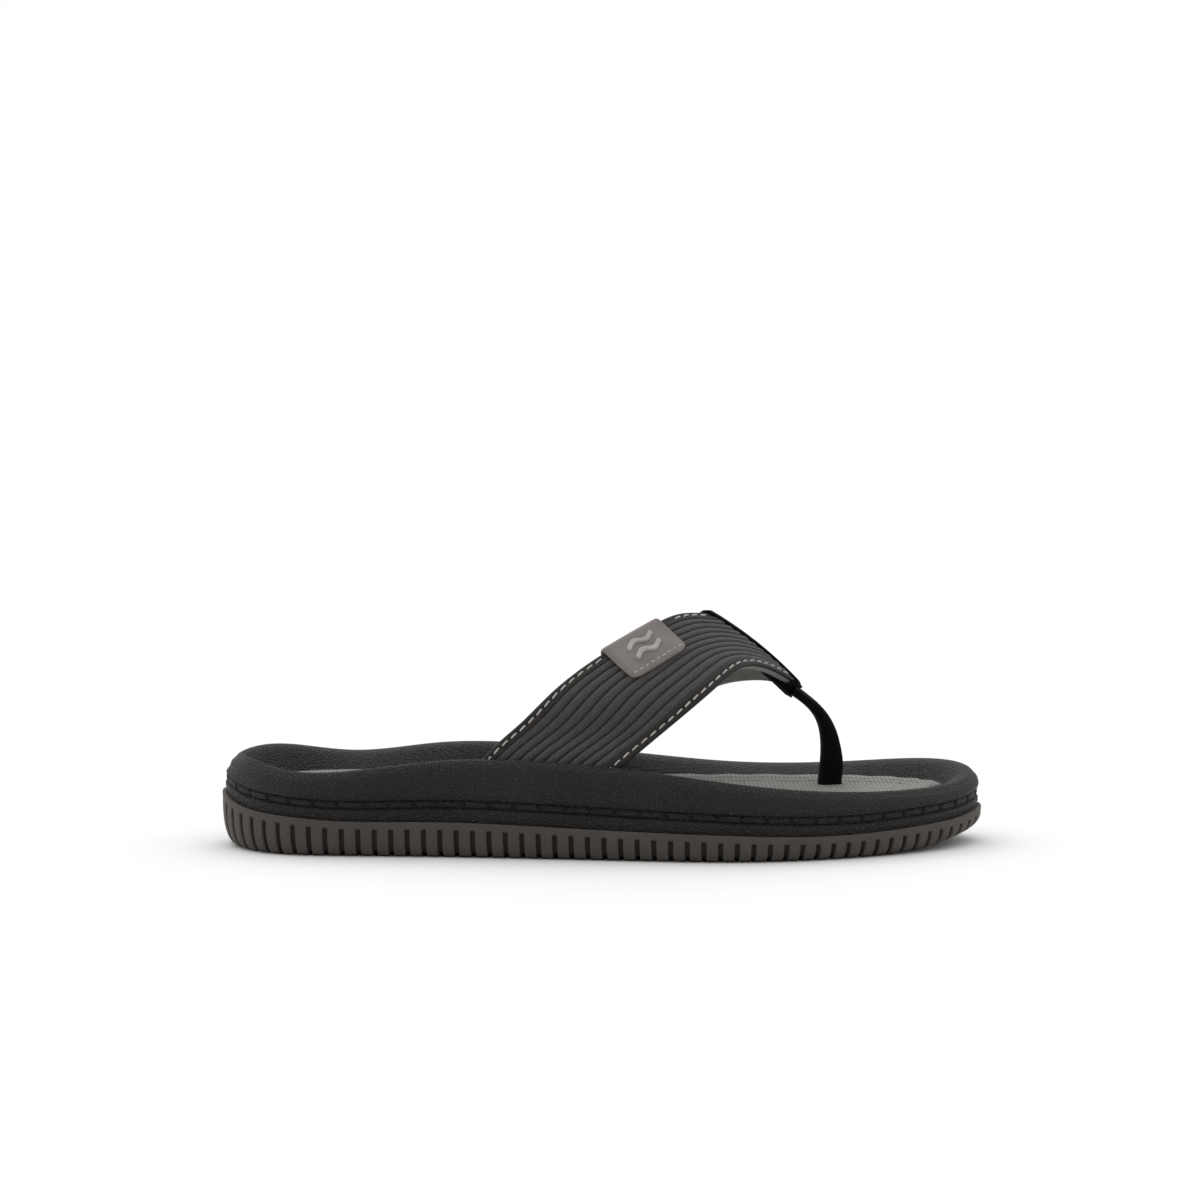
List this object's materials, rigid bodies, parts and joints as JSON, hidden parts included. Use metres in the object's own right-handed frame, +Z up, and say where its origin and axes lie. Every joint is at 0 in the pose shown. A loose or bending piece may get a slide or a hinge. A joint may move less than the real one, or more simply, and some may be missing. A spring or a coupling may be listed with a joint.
{
  "type": "flip flop",
  "caption": "Right-foot thong sandal with a cupped foam midsole, a ribbed-edge rubber outsole, a padded Y strap with a woven ribbed face and a webbing toe post",
  "frame": {"origin": "On the ground under the middle of the sandal, at the bottom centre of its bounding box", "axes": "+X towards the toe, +Y towards the inner (medial) side of the foot, +Z up"},
  "size_m": [0.29, 0.1062, 0.0892],
  "materials": {
    "outsole_rubber": "matt moulded rubber",
    "midsole_foam": "matt moulded foam with a leather grain",
    "insole_foam": "matt mesh-faced foam",
    "strap_textile": "ribbed woven textile",
    "strap_foam": "open foam",
    "strap_lining": "soft knitted lining",
    "edge_binding": "fine-grained synthetic leather",
    "thread": "twisted thread",
    "webbing": "woven tape",
    "anchor_plastic": "moulded plastic",
    "tag_rubber": "satin moulded rubber",
    "emblem_rubber": "satin moulded rubber"
  },
  "bodies": {
    "root": {"outsole": "outsole_rubber", "midsole": "midsole_foam", "footbed_insert": "insole_foam", "lateral_strap_panel": "strap_textile", "medial_strap_panel": "strap_textile", "lateral_strap_padding": "strap_foam", "medial_strap_padding": "strap_foam", "lateral_strap_lining": "strap_lining", "medial_strap_lining": "strap_lining", "lateral_strap_rear_binding": "edge_binding", "lateral_strap_front_binding": "edge_binding", "medial_strap_rear_binding": "edge_binding", "medial_strap_front_binding": "edge_binding", "lateral_strap_stitches": "thread", "medial_strap_stitches": "thread", "seam_strip": "webbing", "toe_post": "webbing", "toe_post_anchor": "anchor_plastic", "lateral_strap_anchor": "webbing", "medial_strap_anchor": "webbing", "strap_tag": "tag_rubber", "tag_emblem": "emblem_rubber", "tag_stitches": "thread"}
  },
  "joints": []
}
